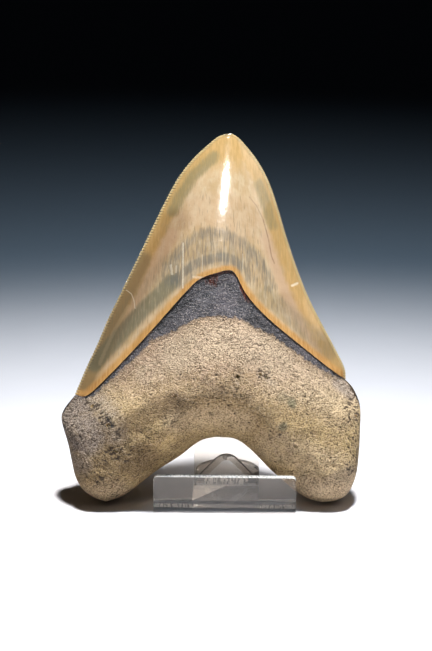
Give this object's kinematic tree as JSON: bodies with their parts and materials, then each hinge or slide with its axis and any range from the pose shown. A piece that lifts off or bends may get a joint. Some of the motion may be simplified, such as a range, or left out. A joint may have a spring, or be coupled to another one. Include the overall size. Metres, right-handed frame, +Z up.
{
  "type": "megalodon tooth",
  "caption": "Fossil megalodon tooth with serrated edges and a two-lobed root, leaning back upright on a small clear acrylic easel.",
  "frame": {"origin": "middle of the footprint of tooth and stand together, on the surface they stand on", "axes": "+Z up, -Y towards the viewer and the side that faced into the mouth, +X to the viewer's right"},
  "size_m": [0.1082, 0.06, 0.1269],
  "materials": {
    "tooth": "polished enamel crown over a rough porous root",
    "stand": "clear polished acrylic"
  },
  "bodies": {
    "root": {"tooth": "tooth", "stand": "stand"}
  },
  "joints": []
}
